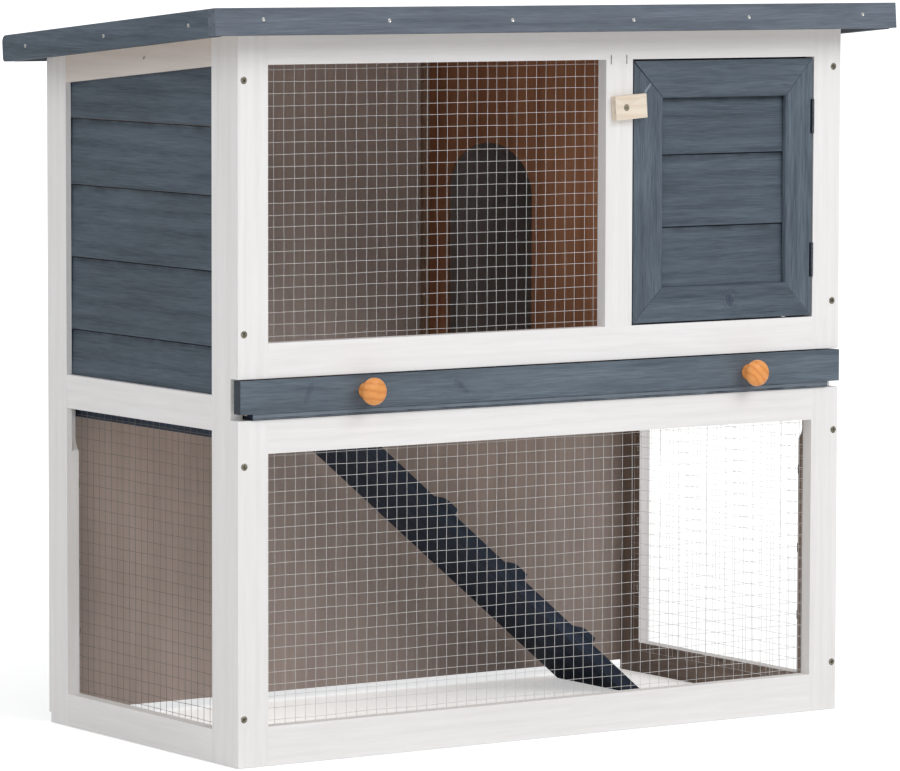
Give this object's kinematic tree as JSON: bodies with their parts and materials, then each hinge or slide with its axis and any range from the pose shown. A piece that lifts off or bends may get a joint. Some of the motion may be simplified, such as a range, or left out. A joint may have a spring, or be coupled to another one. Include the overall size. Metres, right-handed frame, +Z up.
{
  "type": "rabbit hutch",
  "caption": "Wooden rabbit hutch with a meshed living area, nest box door, sliding cleaning drawer, open run below, folding ramp and pitched felt roof",
  "frame": {"origin": "centre of the overall box at ground level", "axes": "+X to the right seen from the front, -Y the front, +Z up"},
  "size_m": [0.9, 0.452, 0.804],
  "materials": {
    "white_paint": "satin",
    "grey_stain": "matte",
    "brown_ply": "matte",
    "bare_wood": "matte",
    "knob_wood": "satin",
    "galvanised_mesh": "satin",
    "steel_hardware": "satin",
    "roof_felt": "matte"
  },
  "bodies": {
    "body": {"back_panel": "brown_ply", "back_panel_nails": "steel_hardware", "divider_stile": "white_paint", "floor_bearers": "grey_stain", "floor_panel": "bare_wood", "frame_screws": "steel_hardware", "front_lower_mesh": "galvanised_mesh", "front_upper_mesh": "galvanised_mesh", "hinge_frame_leaves": "steel_hardware", "hinge_pins": "steel_hardware", "joint_staples": "steel_hardware", "left_back_post": "white_paint", "left_bottom_rail": "white_paint", "left_front_post": "white_paint", "left_mesh": "galvanised_mesh", "left_mid_rail": "white_paint", "left_top_rail": "white_paint", "left_wall_boards": "grey_stain", "lower_front_bottom_rail": "white_paint", "lower_front_stiles": "white_paint", "lower_front_top_rail": "white_paint", "mesh_staples": "steel_hardware", "partition": "brown_ply", "partition_corner_strip": "brown_ply", "ramp_bearer": "grey_stain", "ramp_hinge_floor_leaves": "steel_hardware", "right_back_post": "white_paint", "right_bottom_rail": "white_paint", "right_front_post": "white_paint", "right_mesh": "galvanised_mesh", "right_mid_rail": "white_paint", "right_top_rail": "white_paint", "right_wall_boards": "grey_stain", "roof_back_board": "grey_stain", "roof_battens": "bare_wood", "roof_deck": "bare_wood", "roof_edge_nails": "steel_hardware", "roof_felt": "roof_felt", "roof_front_board": "grey_stain", "roof_left_board": "grey_stain", "roof_right_board": "grey_stain", "turn_button_screw": "steel_hardware", "upper_front_bottom_rail": "white_paint", "upper_front_stiles": "white_paint", "upper_front_top_rail": "white_paint"},
    "door": {"door_left_stile": "grey_stain", "door_right_stile": "grey_stain", "door_top_rail": "grey_stain", "door_bottom_rail": "grey_stain", "door_boards": "grey_stain", "hinge_door_leaves": "steel_hardware"},
    "turn_button": {"turn_button": "bare_wood"},
    "drawer": {"drawer_front": "grey_stain", "tray_bottom": "grey_stain", "tray_battens": "bare_wood", "drawer_knobs": "knob_wood", "knob_screws": "steel_hardware"},
    "ramp": {"ramp_board": "grey_stain", "ramp_cleats": "grey_stain", "ramp_hinge_ramp_leaves": "steel_hardware"}
  },
  "joints": [
    {"name": "door_hinge", "type": "hinge", "parent": "body", "child": "door", "pos_m": [0.36125, -0.188, 0.5], "axis": [0, 0, 1], "range_deg": [0, 170]},
    {"name": "turn_button_swivel", "type": "hinge", "parent": "body", "child": "turn_button", "pos_m": [0.0965, -0.192, 0.6908], "axis": [0, -1, 0], "continuous": true},
    {"name": "drawer_slide", "type": "slide", "parent": "body", "child": "drawer", "axis": [0, -1, 0], "range_m": [0, 0.36]},
    {"name": "ramp_fold", "type": "hinge", "parent": "body", "child": "ramp", "pos_m": [-0.1296, 0.1178, 0.3624], "axis": [0, -1, 0], "range_deg": [0, 14]}
  ]
}
